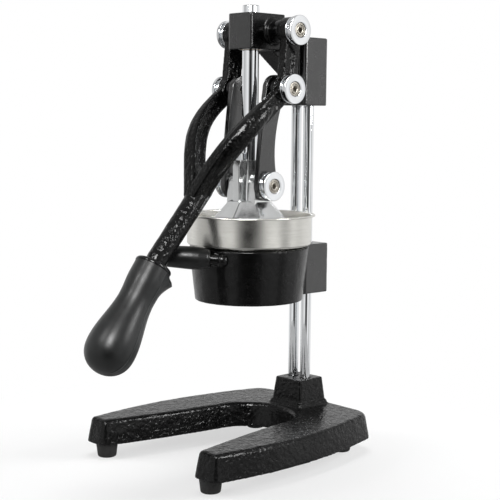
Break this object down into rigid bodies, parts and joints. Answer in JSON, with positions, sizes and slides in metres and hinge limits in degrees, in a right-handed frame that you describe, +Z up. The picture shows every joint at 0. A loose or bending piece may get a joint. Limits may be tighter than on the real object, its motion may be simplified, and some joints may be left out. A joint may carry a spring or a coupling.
{
  "type": "manual citrus juicer",
  "caption": "Lever press juicer: a forked handle and links push a bell down a guide rod into a strainer on a horseshoe base.",
  "frame": {"origin": "middle of the whole juicer's box on the plane of the feet, at rest with the lever down", "axes": "+Z up along the columns; -Y is the front, where the lever hangs; +X is the user's right"},
  "size_m": [0.2068, 0.2902, 0.431],
  "materials": {
    "cast_base": "gloss black hammered enamel on cast iron",
    "hammered_casting": "gloss black hammered enamel on cast iron",
    "satin_casting": "smooth satin black enamel",
    "gloss_enamel": "gloss black enamel",
    "grip_plastic": "satin black moulded plastic",
    "foot_rubber": "matt black rubber",
    "column_chrome": "mirror chrome plate",
    "rod_chrome": "mirror chrome plate",
    "cap_chrome": "bright turned and plated",
    "screw_head": "turned, pale bronze",
    "bearing_bronze": "oil bronze",
    "fastener_steel": "zinc plated",
    "brushed_stainless": "spun and brushed stainless",
    "strainer_stainless": "pressed stainless",
    "polished_aluminium": "cast and polished"
  },
  "bodies": {
    "frame": {"base": "cast_base", "rubber_feet": "foot_rubber", "foot_screws": "fastener_steel", "column_left": "column_chrome", "column_right": "column_chrome", "base_set_screws": "fastener_steel", "head_bracket": "satin_casting", "head_set_screws": "fastener_steel", "guide_bush": "bearing_bronze", "top_spacers": "gloss_enamel", "top_pivot_caps": "cap_chrome", "top_pivot_screws": "screw_head", "cup_holder": "satin_casting", "holder_set_screws": "fastener_steel", "brace_grip": "grip_plastic", "juice_funnel": "brushed_stainless", "strainer": "strainer_stainless"},
    "lever": {"handle_fork": "hammered_casting", "grip_collar": "gloss_enamel", "handle_grip": "grip_plastic", "top_pivot_bushes": "bearing_bronze", "crank_spacers": "gloss_enamel", "crank_pivot_caps": "cap_chrome", "crank_pivot_screws": "screw_head"},
    "press": {"press_bell": "polished_aluminium", "guide_rod": "rod_chrome", "rod_lock_screw": "rod_chrome", "lower_pivot_caps": "cap_chrome", "lower_pivot_screws": "screw_head"},
    "links": {"link_left": "satin_casting", "link_right": "satin_casting", "link_bushes": "bearing_bronze"}
  },
  "joints": [
    {"name": "handle_swing", "type": "hinge", "parent": "frame", "child": "lever", "pos_m": [0, 0.05975, 0.4065], "axis": [-1, 0, 0], "range_deg": [0, 113.6]},
    {"name": "press_slide", "type": "slide", "parent": "frame", "child": "press", "axis": [0, 0, 1], "range_m": [0, 0.08626]},
    {"name": "link_swing", "type": "hinge", "parent": "press", "child": "links", "pos_m": [0, 0.04435, 0.262], "axis": [-1, 0, 0], "range_deg": [-26.34, 0]}
  ],
  "couplings": [
    {"joint": "press_slide", "follows": "handle_swing", "m_per_rad": 0.043495},
    {"joint": "link_swing", "follows": "handle_swing", "ratio": -0.23167}
  ]
}
